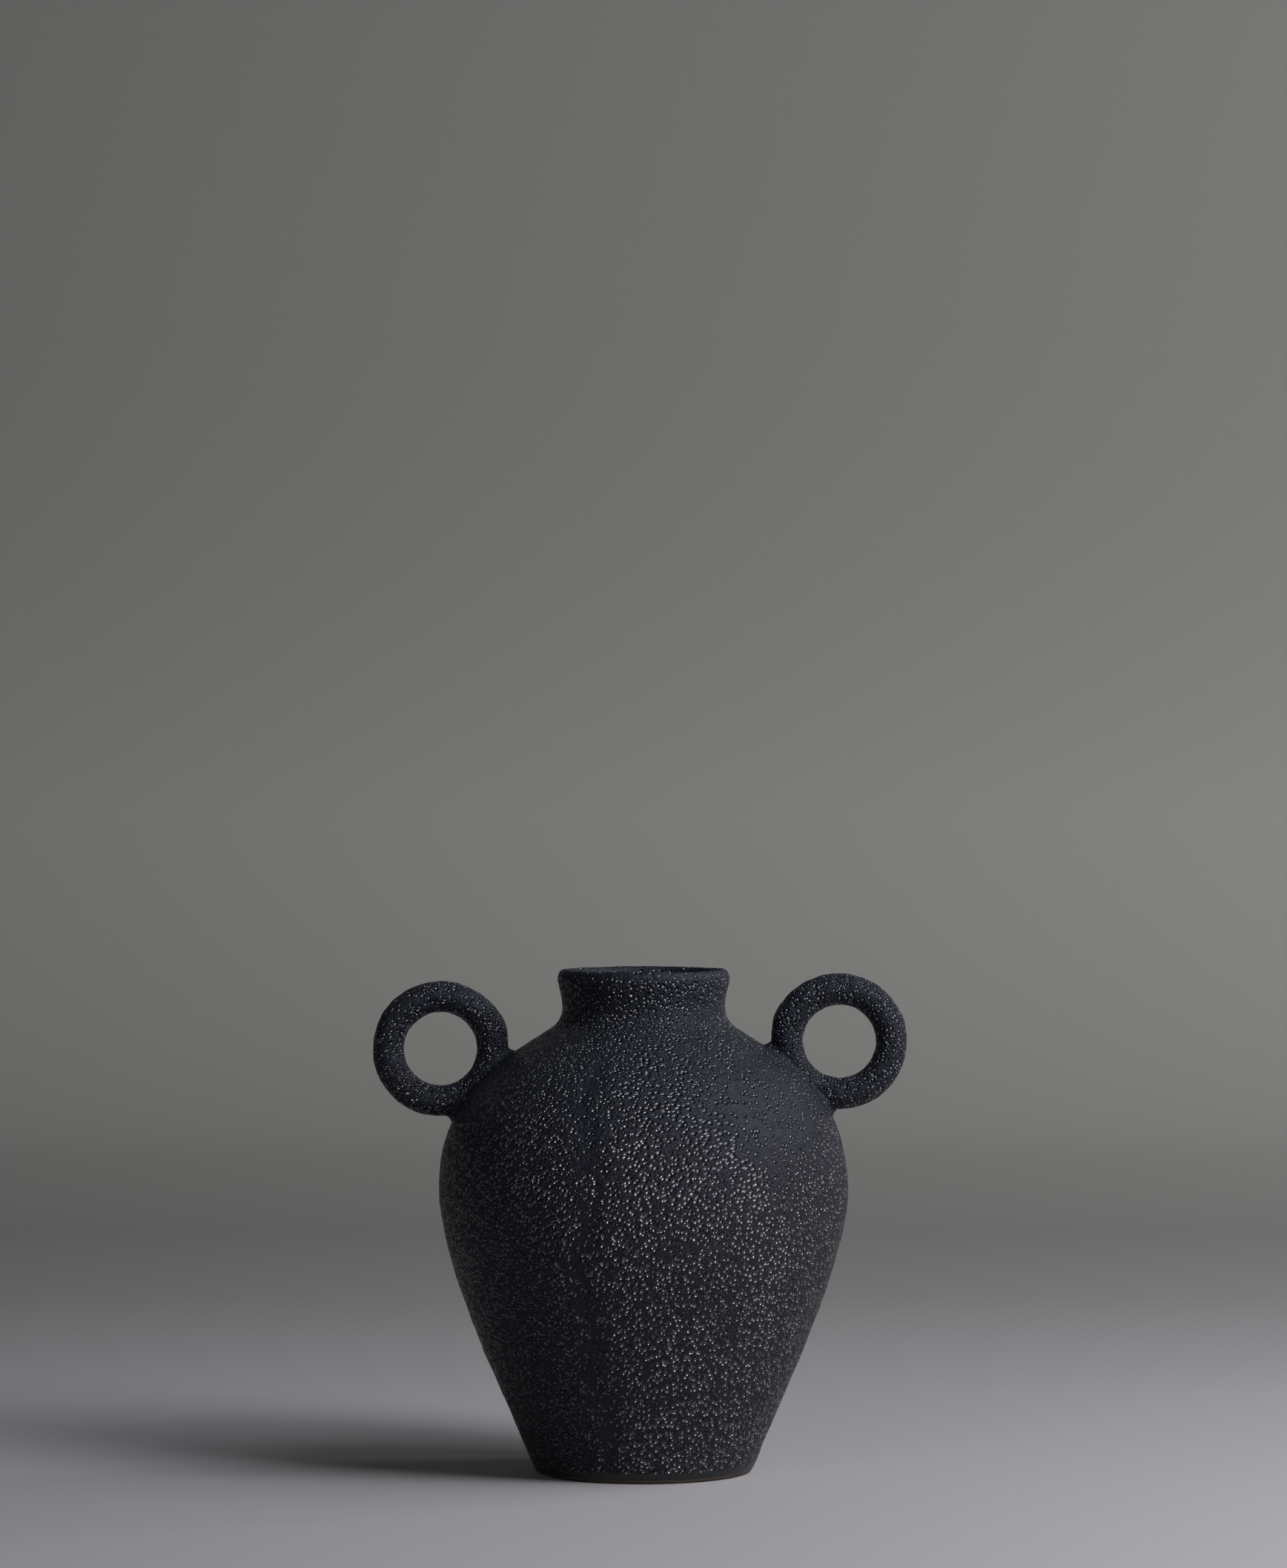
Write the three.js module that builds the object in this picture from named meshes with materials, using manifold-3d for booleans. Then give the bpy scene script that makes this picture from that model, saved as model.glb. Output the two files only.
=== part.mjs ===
// A black stoneware vase with two ring handles, built from the pieces that a potter joins.
// Millimetres, +Z up, origin at the centre of the foot on the table, rings along X.
import * as THREE from 'three';
import { mergeVertices } from 'three/addons/utils/BufferGeometryUtils.js';
import Module from 'manifold-3d';

// Outline of the body
const footRadius = 54;
const footLean = THREE.MathUtils.degToRad(20.9);
const footSweep = 40.3;
const bellyRadius = 101.8;
const bellyHeight = 141;
const sweepBelowBelly = 40.3;
const sweepAboveBelly = 48;
const shoulderRise = 80;
const shoulderSlope = THREE.MathUtils.degToRad(33);
const shoulderSweep = 30.4;
const neckRadius = 40.6;
const neckFillet = 12;
const neckSweep = 6;
const lipRadius = 43;
const lipRise = 14.1;
const lipSweep = 3;
const lipCrown = 4.8;

// Thickness of the clay and the joints between the stacked pieces
const wallThickness = 6;
const lipThickness = 6.5;
const lipDepth = 5;
const footWidth = 11;
const footHeight = 5;
const footEdge = 1.2;
const slabThickness = 7;
const bossDepth = 1.5;
const lapHeight = 3;
const clearance = 0.3;

// Ring handles and the clay beads round their seats
const ringRadius = 26;
const ringTube = 7.8;
const seatSink = 1.05;
const leftSeatDrop = 27.6;
const rightSeatDrop = 24.7;
const beadWidth = 3;

// Facets
const turnSteps = 52;
const footSteps = 2;
const lowerSteps = 9;
const shoulderSteps = 9;
const neckSteps = 6;
const lipSteps = 2;
const crownSteps = 6;
const edgeSteps = 2;
const innerLowerSteps = 5;
const innerShoulderSteps = 6;
const innerNeckSteps = 4;
const ringSteps = 44;
const tubeSteps = 16;

// Heights at which one piece seats on the next
const slabSeat = footHeight;
const wallSeat = slabSeat + slabThickness;
const shoulderSeat = bellyHeight;
const neckSeat = bellyHeight + shoulderRise;
const waistHeight = neckSeat + neckFillet * Math.cos(shoulderSlope);
const lipHeight = waistHeight + lipRise;
const lipSeat = lipHeight - lipDepth;

// The outer surface in one path of radius and height: the flaring lower wall, the round
// shoulder, the concave root of the neck, and the flare to the widest line of the lip.
const neckRootRadius = neckRadius + neckFillet * (1 - Math.sin(shoulderSlope));
const outline = new THREE.Path();
outline.moveTo(footRadius, 0);
outline.bezierCurveTo(
  footRadius + footSweep * Math.sin(footLean), footSweep * Math.cos(footLean),
  bellyRadius, bellyHeight - sweepBelowBelly,
  bellyRadius, bellyHeight,
);
outline.bezierCurveTo(
  bellyRadius, bellyHeight + sweepAboveBelly,
  neckRootRadius + shoulderSweep * Math.cos(shoulderSlope),
  neckSeat - shoulderSweep * Math.sin(shoulderSlope),
  neckRootRadius, neckSeat,
);
outline.absarc(
  neckRadius + neckFillet, waistHeight, neckFillet,
  1.5 * Math.PI - shoulderSlope, Math.PI, true,
);
outline.bezierCurveTo(
  neckRadius, waistHeight + neckSweep,
  lipRadius, lipHeight - lipSweep,
  lipRadius, lipHeight,
);

// A point of the outline, moved into the clay by a depth along the surface normal.
function outlinePoint(position, depth) {
  const point = outline.getPoint(position);
  const tangent = outline.getTangent(position);
  return new THREE.Vector2(point.x - tangent.y * depth, point.y + tangent.x * depth);
}

// Where along the outline the surface at that depth reaches a height, found by halving.
function positionAt(height, depth) {
  let low = 0;
  let high = 1;
  for (let round = 0; round < 40; round += 1) {
    const middle = (low + high) / 2;
    if (outlinePoint(middle, depth).y < height) {
      low = middle;
    } else {
      high = middle;
    }
  }
  return (low + high) / 2;
}

// Evenly spaced points of the surface at a depth, from one height up to another.
function surfaceRun(fromHeight, toHeight, depth, steps) {
  const from = positionAt(fromHeight, depth);
  const to = positionAt(toHeight, depth);
  const points = [];
  for (let step = 0; step <= steps; step += 1) {
    points.push(outlinePoint(from + (to - from) * step / steps, depth));
  }
  points[0].y = fromHeight;
  points[steps].y = toHeight;
  return points;
}

const outerRun = (fromHeight, toHeight, steps) => surfaceRun(fromHeight, toHeight, 0, steps);

// The inner surface is listed downwards, as the outline of a piece is walked.
const innerRun = (fromHeight, toHeight, steps) => (
  surfaceRun(toHeight, fromHeight, wallThickness, steps).reverse()
);

// The lap between two stacked pieces: the lower one ends in a flat land outside and a tongue
// inside, the upper one in the same land and a rebate that clears the tongue.
const lapRadius = (seat) => outlinePoint(positionAt(seat, 0), 0).x - wallThickness / 2;
const tongueTop = (seat) => seat + lapHeight;
const rebateTop = (seat) => seat + lapHeight + clearance;
const tongue = (seat) => [
  new THREE.Vector2(lapRadius(seat) - clearance, seat),
  new THREE.Vector2(lapRadius(seat) - clearance, tongueTop(seat)),
];
const rebate = (seat) => [
  new THREE.Vector2(lapRadius(seat), rebateTop(seat)),
  new THREE.Vector2(lapRadius(seat), seat),
];

// A profile turned about the vertical axis, either closed on itself or from axis to axis.
function turned(profile) {
  const onAxis = profile[0].x === 0;
  const points = onAxis ? profile : [...profile, profile[0]];
  const geometry = new THREE.LatheGeometry(points, turnSteps);
  geometry.rotateX(Math.PI / 2);
  return geometry;
}

// The rounded edge between the table and the outer side of the foot.
function footEdgeRun() {
  const end = outlinePoint(positionAt(footEdge, 0), 0);
  const curve = new THREE.QuadraticBezierCurve(
    new THREE.Vector2(footRadius - footEdge, 0), new THREE.Vector2(footRadius, 0), end,
  );
  return curve.getPoints(edgeSteps).slice(0, -1);
}

// The half ellipse over the lip, from its outer side to its inner side.
function crownRun(growth) {
  const points = [];
  for (let step = 0; step <= crownSteps; step += 1) {
    const angle = Math.PI * step / crownSteps;
    points.push(new THREE.Vector2(
      lipRadius - lipThickness / 2 + (lipThickness / 2 + growth) * Math.cos(angle),
      lipHeight + (lipCrown + growth) * Math.sin(angle),
    ));
  }
  return points;
}

function footRing() {
  const innerRadius = footRadius - footWidth;
  return turned([
    new THREE.Vector2(innerRadius, 0),
    ...footEdgeRun(),
    ...outerRun(footEdge, slabSeat, footSteps),
    new THREE.Vector2(innerRadius, slabSeat),
  ]);
}

// The floor of the pot: a boss below keys into the foot ring, an upstand keys into the wall.
function baseSlab() {
  const bossRadius = footRadius - footWidth - clearance;
  const upstandTop = innerRun(tongueTop(wallSeat), wallSeat, 1);
  return turned([
    new THREE.Vector2(0, slabSeat - bossDepth),
    new THREE.Vector2(bossRadius, slabSeat - bossDepth),
    new THREE.Vector2(bossRadius, slabSeat),
    ...outerRun(slabSeat, wallSeat, footSteps),
    ...tongue(wallSeat),
    ...upstandTop,
    new THREE.Vector2(0, wallSeat),
  ]);
}

function lowerWall() {
  return turned([
    ...rebate(wallSeat),
    ...outerRun(wallSeat, shoulderSeat, lowerSteps),
    ...tongue(shoulderSeat),
    ...innerRun(tongueTop(shoulderSeat), rebateTop(wallSeat), innerLowerSteps),
  ]);
}

function shoulderWall() {
  return turned([
    ...rebate(shoulderSeat),
    ...outerRun(shoulderSeat, neckSeat, shoulderSteps),
    ...tongue(neckSeat),
    ...innerRun(tongueTop(neckSeat), rebateTop(shoulderSeat), innerShoulderSteps),
  ]);
}

function neckCollar() {
  return turned([
    ...rebate(neckSeat),
    ...outerRun(neckSeat, lipSeat, neckSteps),
    ...tongue(lipSeat),
    ...innerRun(tongueTop(lipSeat), rebateTop(neckSeat), innerNeckSteps),
  ]);
}

function lipRing() {
  return turned([
    ...rebate(lipSeat),
    ...outerRun(lipSeat, lipHeight, lipSteps),
    ...crownRun(0).slice(1),
    outlinePoint(positionAt(rebateTop(lipSeat), wallThickness), wallThickness),
  ]);
}

// The whole body as one filled shape, grown outwards, that the rings are cut to.
function bodyShape(growth) {
  const seats = [0, slabSeat, wallSeat, shoulderSeat, neckSeat, lipSeat, lipHeight];
  const steps = [footSteps, footSteps, lowerSteps, shoulderSteps, neckSteps, lipSteps];
  const side = steps.flatMap((count, index) => {
    const from = positionAt(seats[index], 0);
    const to = positionAt(seats[index + 1], 0);
    return Array.from({ length: count }, (_, step) => (
      outlinePoint(from + (to - from) * step / count, -growth)
    ));
  });
  const crown = crownRun(growth).slice(0, crownSteps / 2 + 1);
  return turned([
    new THREE.Vector2(0, side[0].y),
    ...side,
    ...crown,
    new THREE.Vector2(0, lipHeight + lipCrown + growth),
  ]);
}

// The centre of a ring: out from the shoulder along its normal, so that the middle of the
// clay roll lies just under the surface where the ring seats.
function ringCentre(seatDrop, side) {
  const position = positionAt(neckSeat - seatDrop, 0);
  const centre = outlinePoint(position, seatSink - ringRadius);
  return new THREE.Vector3(side * centre.x, 0, centre.y);
}

function ringShape(centre, growth) {
  const geometry = new THREE.TorusGeometry(ringRadius, ringTube + growth, tubeSteps, ringSteps);
  geometry.rotateX(Math.PI / 2);
  geometry.translate(centre.x, centre.y, centre.z);
  return geometry;
}

const wasm = await Module();
wasm.setup();

function solidOf(geometry) {
  geometry.deleteAttribute('normal');
  geometry.deleteAttribute('uv');
  const merged = mergeVertices(geometry);
  const corners = Array.from(merged.index.array);
  const triangles = [];
  for (let first = 0; first < corners.length; first += 3) {
    const [a, b, c] = corners.slice(first, first + 3);
    if (a !== b && b !== c && c !== a) {
      triangles.push(a, b, c);
    }
  }
  return new wasm.Manifold(new wasm.Mesh({
    numProp: 3,
    vertProperties: merged.attributes.position.array,
    triVerts: new Uint32Array(triangles),
  }));
}

function geometryOf(solid) {
  const mesh = solid.getMesh();
  const geometry = new THREE.BufferGeometry();
  geometry.setAttribute('position', new THREE.BufferAttribute(mesh.vertProperties, 3));
  geometry.setIndex(new THREE.BufferAttribute(mesh.triVerts, 1));
  geometry.computeVertexNormals();
  return geometry;
}

const clearBody = solidOf(bodyShape(clearance));
const bodyWithBead = solidOf(bodyShape(beadWidth));

// A closed ring of round clay with its seat cut to the shoulder.
function handle(centre) {
  return geometryOf(solidOf(ringShape(centre, 0)).subtract(clearBody));
}

// The bead fills the corner between the ring and the shoulder all round the seat.
function luting(centre) {
  const corner = solidOf(ringShape(centre, beadWidth)).intersect(bodyWithBead);
  const bead = corner.subtract(solidOf(ringShape(centre, clearance))).subtract(clearBody);
  return geometryOf(bead);
}

const blackGlaze = new THREE.MeshStandardMaterial({
  color: '#1f1f23', roughness: 0.42, metalness: 0,
});
const bareClay = new THREE.MeshStandardMaterial({
  color: '#41362e', roughness: 0.9, metalness: 0,
});

const vase = new THREE.Group();

function addPiece(name, geometry, material) {
  const piece = new THREE.Mesh(geometry, material);
  piece.name = name;
  vase.add(piece);
}

const leftCentre = ringCentre(leftSeatDrop, -1);
const rightCentre = ringCentre(rightSeatDrop, 1);
addPiece('foot_ring', footRing(), bareClay);
addPiece('base_slab', baseSlab(), bareClay);
addPiece('lower_wall', lowerWall(), blackGlaze);
addPiece('shoulder_wall', shoulderWall(), blackGlaze);
addPiece('neck_collar', neckCollar(), blackGlaze);
addPiece('lip_ring', lipRing(), blackGlaze);
addPiece('handle_left', handle(leftCentre), blackGlaze);
addPiece('handle_right', handle(rightCentre), blackGlaze);
addPiece('luting_left', luting(leftCentre), blackGlaze);
addPiece('luting_right', luting(rightCentre), blackGlaze);

export default vase;
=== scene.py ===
import math

import bpy
import numpy as np
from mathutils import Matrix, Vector


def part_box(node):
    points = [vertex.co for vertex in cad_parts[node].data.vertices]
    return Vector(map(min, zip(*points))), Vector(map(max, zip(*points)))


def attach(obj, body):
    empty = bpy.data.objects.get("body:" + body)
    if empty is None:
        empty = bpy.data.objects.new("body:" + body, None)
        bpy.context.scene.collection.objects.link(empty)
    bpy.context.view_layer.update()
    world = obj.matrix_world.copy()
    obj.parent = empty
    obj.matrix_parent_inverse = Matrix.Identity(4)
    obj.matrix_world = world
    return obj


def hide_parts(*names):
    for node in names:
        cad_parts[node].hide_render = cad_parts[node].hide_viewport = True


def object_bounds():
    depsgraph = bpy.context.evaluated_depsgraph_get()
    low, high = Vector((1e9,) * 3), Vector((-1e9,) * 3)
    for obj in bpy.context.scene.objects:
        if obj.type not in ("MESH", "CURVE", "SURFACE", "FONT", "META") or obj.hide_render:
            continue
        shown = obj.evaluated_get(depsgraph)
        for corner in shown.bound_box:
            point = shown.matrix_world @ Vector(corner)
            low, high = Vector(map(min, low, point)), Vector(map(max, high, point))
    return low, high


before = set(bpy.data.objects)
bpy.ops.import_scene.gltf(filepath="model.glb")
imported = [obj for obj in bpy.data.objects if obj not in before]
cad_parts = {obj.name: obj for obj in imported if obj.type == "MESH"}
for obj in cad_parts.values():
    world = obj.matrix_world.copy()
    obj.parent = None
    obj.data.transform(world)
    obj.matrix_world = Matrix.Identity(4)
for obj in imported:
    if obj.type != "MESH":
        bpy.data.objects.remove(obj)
cad_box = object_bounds()
scene = bpy.context.scene
MM = 0.001

# The studio: a camera level with the shoulder of the vase, far off on a long lens, so that
# the lines of the pot stay nearly parallel. The vase stands on pale seamless paper that
# sweeps up behind it.
CAMERA_DISTANCE = 2.6255
CAMERA_HEIGHT = 0.3424
LENS_MM = 120.8
LONG_SIDE_MM = 36.0

camera_data = bpy.data.cameras.new("studio_camera")
camera_data.lens = LENS_MM
camera_data.sensor_width = LONG_SIDE_MM
camera = bpy.data.objects.new("studio_camera", camera_data)
camera.location = (0.0, -CAMERA_DISTANCE, CAMERA_HEIGHT)
camera.rotation_euler = (math.pi / 2, 0.0, 0.0)
scene.collection.objects.link(camera)
scene.camera = camera
scene.view_settings.view_transform = "Standard"


def linear(hex_code):
    """Linear red, green, blue and an alpha of 1 for an sRGB hex colour."""
    parts = [int(hex_code[at:at + 2], 16) / 255 for at in (1, 3, 5)]
    return [c / 12.92 if c <= 0.04045 else ((c + 0.055) / 1.055) ** 2.4 for c in parts] + [1.0]


def add_node(tree, kind, settings=None):
    """A shader node of a kind. Each setting goes to an attribute or an input of the node: a plain
    value, an output that is linked to it, or another node, whose first output is linked."""
    node = tree.nodes.new("ShaderNode" + kind)
    for key, value in (settings or {}).items():
        if isinstance(value, bpy.types.Node):
            value = value.outputs[0]
        if isinstance(value, bpy.types.NodeSocket):
            tree.links.new(value, node.inputs[key])
        elif isinstance(key, str) and hasattr(node, key):
            setattr(node, key, value)
        else:
            node.inputs[key].default_value = value
    return node


VASE_MIDDLE = Vector((0.0, 0.0, 0.13))


def round_vase(azimuth, elevation, distance):
    """A place round the vase: azimuth 0 is on the camera's side and 90 on the right."""
    turn, lift = math.radians(azimuth), math.radians(elevation)
    way = Vector((math.sin(turn) * math.cos(lift), -math.cos(turn) * math.cos(lift),
                  math.sin(lift)))
    return VASE_MIDDLE + way * distance


def softbox(name, place, aim, width, height, watts):
    """A rectangular lamp at a place, turned to face the aim."""
    data = bpy.data.lights.new(name, "AREA")
    data.shape = "RECTANGLE"
    data.size = width
    data.size_y = height
    data.energy = watts
    lamp = bpy.data.objects.new(name, data)
    lamp.location = place
    lamp.rotation_euler = (aim - place).to_track_quat("-Z", "Y").to_euler()
    scene.collection.objects.link(lamp)


softbox("key_softbox", round_vase(70, 44, 1.75), VASE_MIDDLE, width=1.5, height=1.3, watts=20)
softbox("key_hot_core", round_vase(56, 34, 1.7), VASE_MIDDLE, width=0.7, height=0.7, watts=20)
softbox("front_fill", round_vase(-28, 22, 1.8), VASE_MIDDLE, width=0.4, height=0.4, watts=2.3)
softbox("backdrop_panel", Vector((2.6, 1.2, 1.6)), Vector((0.2, 3.2, 0.9)),
        width=1.0, height=1.6, watts=26)

# The room is mid grey to the camera but gives little light, so that the lamps shape the pot.
ROOM_GREY = "#727270"
ROOM_GLOW = 0.15
world = bpy.data.worlds.new("studio_room")
scene.world = world
world.use_nodes = True
room = world.node_tree
background = room.nodes["Background"]
background.inputs["Color"].default_value = linear(ROOM_GREY)
ray = add_node(room, "LightPath")
strength = add_node(room, "MapRange", {"Value": ray.outputs["Is Camera Ray"],
                                       "To Min": ROOM_GLOW, "To Max": 1.0})
room.links.new(strength.outputs["Result"], background.inputs["Strength"])

PAPER_HALF_WIDTH = 5.0
PAPER_FRONT = -4.0
PAPER_BEND = 2.3
PAPER_RADIUS = 0.9
PAPER_TOP = 4.0
# Tones of the paper at shares of the way from its front edge to where it stands upright. They paint
# light and shade along the sheet: painted shade on the far floor, where the lamps' light falls off,
# and painted light on the bend.
PAPER_TONES_AND_PAINTED_SHADE = ((0.6, "#9a989d"), (0.68, "#908e90"), (0.75, "#939292"),
               (0.88, "#bbbbb9"), (0.97, "#bebebb"), (1.0, "#ababa9"))


def paper_sweep():
    """Paper along y and z: flat on the floor, a quarter circle, then straight up."""
    turn = np.linspace(0.0, np.pi / 2, 24)
    flat = np.linspace(PAPER_FRONT, PAPER_BEND, 40)[:-1]
    y = np.concatenate([flat, PAPER_BEND + PAPER_RADIUS * np.sin(turn),
                        [PAPER_BEND + PAPER_RADIUS]])
    z = np.concatenate([flat * 0.0, PAPER_RADIUS * (1 - np.cos(turn)), [PAPER_TOP]])
    left = np.stack([y * 0 - PAPER_HALF_WIDTH, y, z], 1)
    right = left * [-1, 1, 1]
    count = len(y)
    quads = [(i, i + count, i + count + 1, i + 1) for i in range(count - 1)]
    mesh = bpy.data.meshes.new("seamless_paper")
    mesh.from_pydata(np.vstack([left, right]).tolist(), [], quads)
    mesh.shade_smooth()
    return mesh


paper = bpy.data.objects.new("seamless_paper", paper_sweep())
scene.collection.objects.link(paper)
matt_paper = bpy.data.materials.new("matt_seamless_paper")
matt_paper.use_nodes = True
paper_nodes = matt_paper.node_tree
on_paper = add_node(paper_nodes, "TexCoord").outputs["Object"]
backwards = add_node(paper_nodes, "SeparateXYZ", {0: on_paper}).outputs["Y"]
share = add_node(paper_nodes, "MapRange", {"Value": backwards, "From Min": PAPER_FRONT,
                                           "From Max": PAPER_BEND + PAPER_RADIUS})
paper_tone_and_painted_shade = add_node(paper_nodes, "ValToRGB", {"Fac": share})
stops = paper_tone_and_painted_shade.color_ramp.elements
for place, _ in PAPER_TONES_AND_PAINTED_SHADE[1:-1]:
    stops.new(place)
for stop, (place, colour) in zip(stops, PAPER_TONES_AND_PAINTED_SHADE):
    stop.position = place
    stop.color = linear(colour)
paper_shader = paper_nodes.nodes["Principled BSDF"]
paper_shader.inputs["Roughness"].default_value = 0.85
paper_nodes.links.new(paper_tone_and_painted_shade.outputs["Color"], paper_shader.inputs["Base Color"])
paper.data.materials.append(matt_paper)

# The body: stoneware thrown in sections and luted into one pot, dipped in a black glaze that
# boiled in the kiln. Its bubbles burst and left pits all over the outside, so that skin is
# worked out for the whole pot at once and each section then takes its share of it.
FOOT_RADIUS = 54 * MM
FOOT_EDGE = 1.2 * MM
FOOT_LEAN = math.radians(20.9)
FOOT_SWEEP = 40.3 * MM
SWEEP_BELOW_BELLY = 40.3 * MM
SWEEP_ABOVE_BELLY = 48 * MM
SHOULDER_SLOPE = math.radians(33)
SHOULDER_SWEEP = 30.4 * MM
NECK_RADIUS = 40.6 * MM
NECK_FILLET = 12 * MM
NECK_SWEEP = 6 * MM
LIP_SWEEP = 3 * MM
LIP_CROWN = 4.8 * MM
foot_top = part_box("foot_ring")[1].z
wall_low, wall_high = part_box("lower_wall")
wall_foot = wall_low.z
belly_radius = wall_high.x
belly_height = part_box("shoulder_wall")[0].z
neck_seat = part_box("neck_collar")[0].z
lip_low, lip_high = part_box("lip_ring")
lip_seat = lip_low.z
lip_radius = lip_high.x
lip_height = lip_high.z - LIP_CROWN
waist_height = neck_seat + NECK_FILLET * math.cos(SHOULDER_SLOPE)


def bezier(start, pull, push, end, steps=600):
    """(1-t)^3 start + 3(1-t)^2 t pull + 3(1-t) t^2 push + t^3 end, for t from 0 to 1."""
    t = np.linspace(0.0, 1.0, steps)[:, None]
    start, pull, push, end = (np.array(p) for p in (start, pull, push, end))
    return ((1 - t) ** 3 * start + 3 * (1 - t) ** 2 * t * pull
            + 3 * (1 - t) * t ** 2 * push + t ** 3 * end)


def outer_path():
    """Radius and height from the table to the widest line of the lip: the rounded edge of the
    foot, the flaring wall, the round shoulder, the root of the neck and the flare of the lip."""
    root = (NECK_RADIUS + NECK_FILLET * (1 - math.sin(SHOULDER_SLOPE)), neck_seat)
    wall = bezier((FOOT_RADIUS, 0.0),
                  (FOOT_RADIUS + FOOT_SWEEP * math.sin(FOOT_LEAN),
                   FOOT_SWEEP * math.cos(FOOT_LEAN)),
                  (belly_radius, belly_height - SWEEP_BELOW_BELLY),
                  (belly_radius, belly_height))
    wall = wall[wall[:, 1] >= FOOT_EDGE]
    t = np.linspace(0.0, 1.0, 12)[:-1, None]
    edge = ((1 - t) ** 2 * np.array([FOOT_RADIUS - FOOT_EDGE, 0.0])
            + 2 * (1 - t) * t * np.array([FOOT_RADIUS, 0.0]) + t ** 2 * wall[0])
    shoulder = bezier((belly_radius, belly_height),
                      (belly_radius, belly_height + SWEEP_ABOVE_BELLY),
                      (root[0] + SHOULDER_SWEEP * math.cos(SHOULDER_SLOPE),
                       root[1] - SHOULDER_SWEEP * math.sin(SHOULDER_SLOPE)), root)
    turn = np.linspace(np.pi / 2 - SHOULDER_SLOPE, 0.0, 120)
    fillet = np.stack([NECK_RADIUS + NECK_FILLET * (1 - np.cos(turn)),
                       waist_height - NECK_FILLET * np.sin(turn)], 1)
    flare = bezier((NECK_RADIUS, waist_height), (NECK_RADIUS, waist_height + NECK_SWEEP),
                   (lip_radius, lip_height - LIP_SWEEP), (lip_radius, lip_height))
    return np.vstack([edge, wall, shoulder[1:], fillet[1:], flare[1:]])


def unit(vectors):
    """Each vector divided by its length."""
    return vectors / np.maximum(np.linalg.norm(vectors, axis=-1, keepdims=True), 1e-12)


def between(path, low, high):
    """The stretch of a rising path between two heights, ends included."""
    inside = path[(path[:, 1] > low + 1e-7) & (path[:, 1] < high - 1e-7)]
    ends = np.array([[np.interp(h, path[:, 1], path[:, 0]), h] for h in (low, high)])
    return np.vstack([ends[:1], inside, ends[1:]])


def even(path, pitch):
    """Points at even steps of about the pitch along a path, ends included."""
    length = np.concatenate([[0.0], np.cumsum(np.linalg.norm(np.diff(path, axis=0), axis=1))])
    at = np.linspace(0.0, length[-1], max(2, round(length[-1] / pitch) + 1))
    return np.stack([np.interp(at, length, path[:, k]) for k in (0, 1)], 1)


def end_to_end(stretches):
    """The stretches as one path without doubled ends, and the row at which each one ends."""
    path = np.vstack([stretches[0], *[part[1:] for part in stretches[1:]]])
    return path, np.cumsum([len(part) - 1 for part in stretches])


def turned(path, columns):
    """Each point of the path carried round the axis: (r cos a, r sin a, z)."""
    angle = np.arange(columns) * 2 * np.pi / columns
    r, z = path[:, 0, None], path[:, 1, None]
    return np.stack([r * np.cos(angle), r * np.sin(angle), z + 0 * angle], -1)


def grid_normals(grid):
    """The unit cross product of the steps along the columns and along the rows."""
    across = np.roll(grid, -1, 1) - np.roll(grid, 1, 1)
    return unit(np.cross(across, np.gradient(grid, axis=0)))


# The hand leaves a clay wall a little uneven at every scale. That unevenness comes from random
# values on cubic lattices that cover the pot, so it runs on across every joint.
random = np.random.default_rng(7)
field_low = np.array(cad_box[0]) - 0.02
field_size = np.array(cad_box[1]) - field_low + 0.02


def lattice(pitch):
    """A pitch, and a random value for every cell of a lattice of that pitch over the pot."""
    return pitch, random.random(tuple(np.ceil(field_size / pitch).astype(int)))


DRIFT = lattice(26 * MM)
PATCH = lattice(13 * MM)
RIPPLE = lattice(5 * MM)
PEBBLE = lattice(2.3 * MM)


def soft_noise(points, cells):
    """Random values at the lattice corners, blended between them by 3t^2 - 2t^3, less a half."""
    pitch, values = cells
    scaled = (points.reshape(-1, 3) - field_low) / pitch
    cell = np.floor(scaled).astype(int)
    t = scaled - cell
    t = t * t * (3 - 2 * t)
    total = np.zeros(len(scaled))
    for corner in np.ndindex(2, 2, 2):
        at = np.clip(cell + np.array(corner), 0, np.array(values.shape) - 1)
        share = np.prod(np.where(np.array(corner) == 1, t, 1 - t), axis=1)
        total += share * values[at[:, 0], at[:, 1], at[:, 2]]
    return total.reshape(points.shape[:-1]) - 0.5


def ease(low, high, value):
    """0 below low, 1 above high, and 3t^2 - 2t^3 between."""
    t = np.clip((value - low) / (high - low), 0.0, 1.0)
    return t * t * (3 - 2 * t)


ring_low = {side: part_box(f"handle_{side}")[0] for side in ("left", "right")}
ring_high = {side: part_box(f"handle_{side}")[1] for side in ("left", "right")}
TUBE = {side: ring_high[side].y for side in ring_low}
REACH = {side: (ring_high[side].z - ring_low[side].z) / 2 for side in ring_low}
CENTRE = {
    "left": np.array([ring_low["left"].x + REACH["left"], 0.0,
                      ring_high["left"].z - REACH["left"]]),
    "right": np.array([ring_high["right"].x - REACH["right"], 0.0,
                       ring_high["right"].z - REACH["right"]]),
}


def ring_distance(points, side):
    """How far a point lies outside the clay roll of a ring: the distance to the roll's centre
    circle in the plane y = 0, less the roll's radius."""
    away = points - CENTRE[side]
    out = np.hypot(away[..., 0], away[..., 2]) - (REACH[side] - TUBE[side])
    return np.hypot(out, away[..., 1]) - TUBE[side]


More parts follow.
